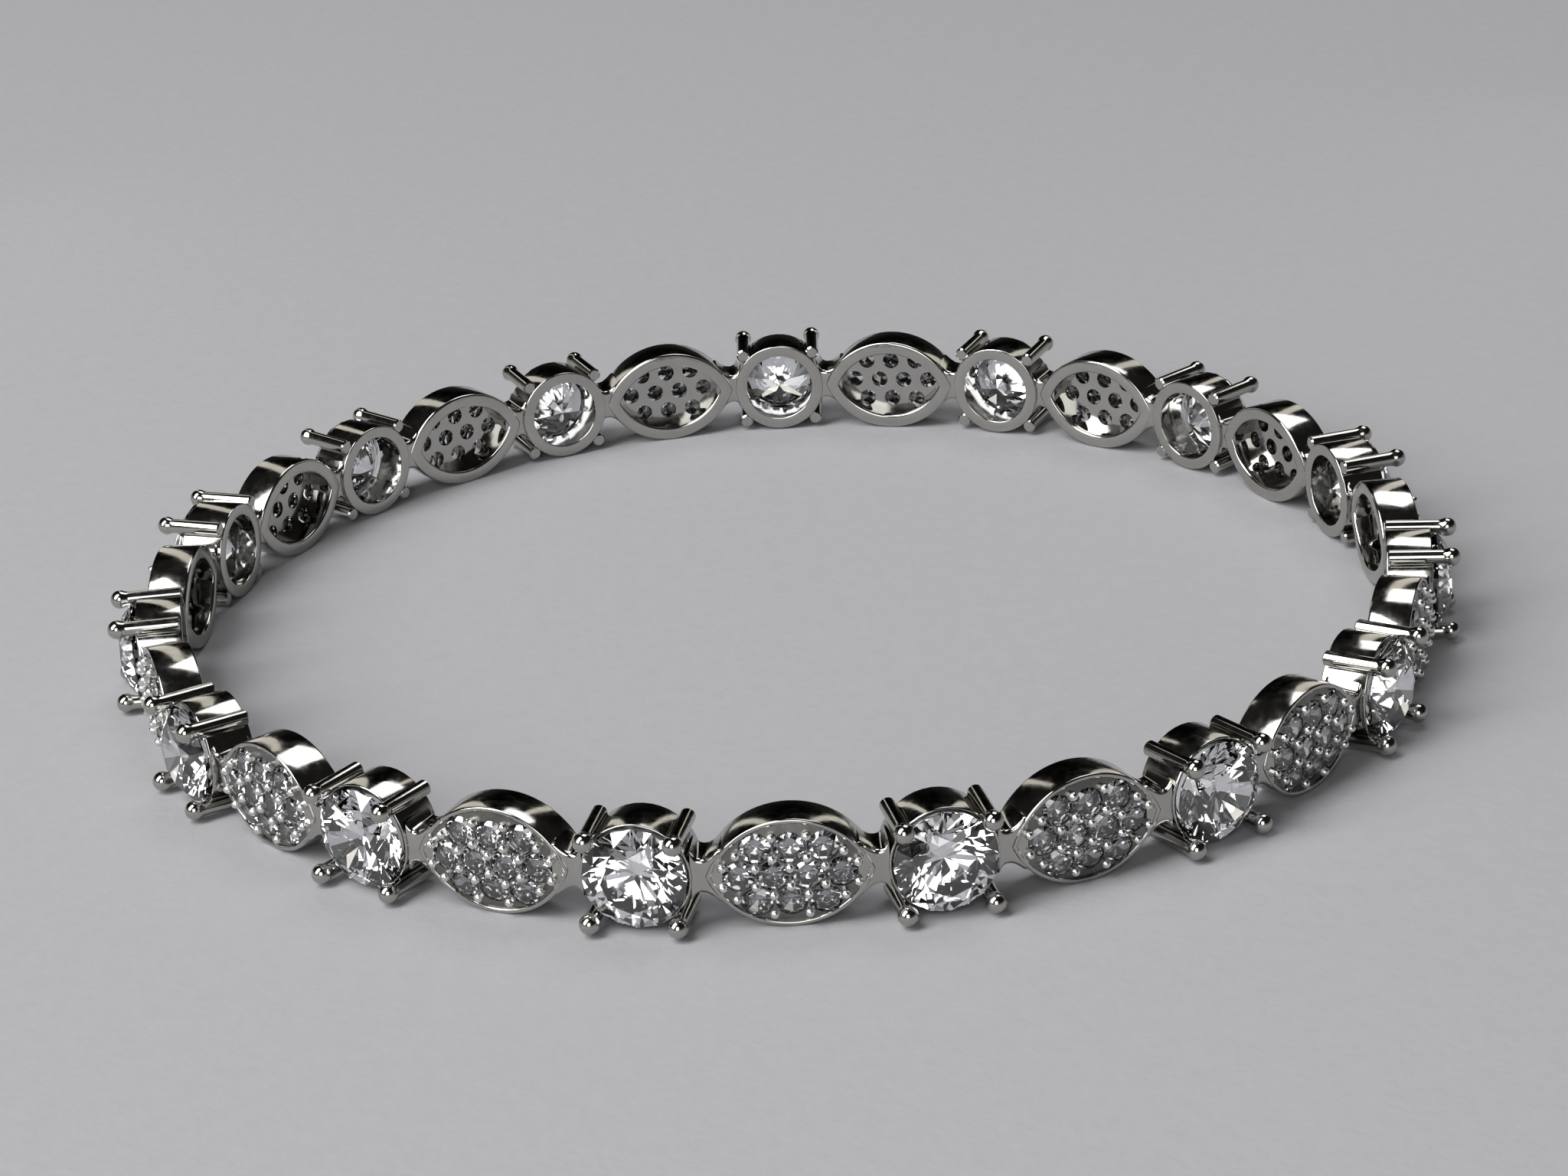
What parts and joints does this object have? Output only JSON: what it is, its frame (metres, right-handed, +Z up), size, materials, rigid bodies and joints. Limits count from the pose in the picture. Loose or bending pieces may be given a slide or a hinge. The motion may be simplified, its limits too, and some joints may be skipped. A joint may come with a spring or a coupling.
{
  "type": "bangle",
  "caption": "Rigid slip-on bangle whose round claw-set stones alternate with pointed-oval panels of small pave stones, all joined by short necks into one closed cast ring.",
  "frame": {"origin": "centre of the base, on the surface that the bangle lies on", "axes": "+Z up and along the ring's axis; -Y is the front, where a pointed-oval panel is centred"},
  "size_m": [0.0676, 0.0672, 0.0052],
  "materials": {
    "plated_metal": "bright rhodium plating over a cast base metal, mirror polished",
    "clear_stone": "clear faceted brilliant, polished"
  },
  "bodies": {
    "root": {"metal_frame": "plated_metal", "round_stone_01": "clear_stone", "round_stone_02": "clear_stone", "round_stone_03": "clear_stone", "round_stone_04": "clear_stone", "round_stone_05": "clear_stone", "round_stone_06": "clear_stone", "round_stone_07": "clear_stone", "round_stone_08": "clear_stone", "round_stone_09": "clear_stone", "round_stone_10": "clear_stone", "round_stone_11": "clear_stone", "round_stone_12": "clear_stone", "round_stone_13": "clear_stone", "round_stone_14": "clear_stone", "round_stone_15": "clear_stone"}
  },
  "joints": []
}
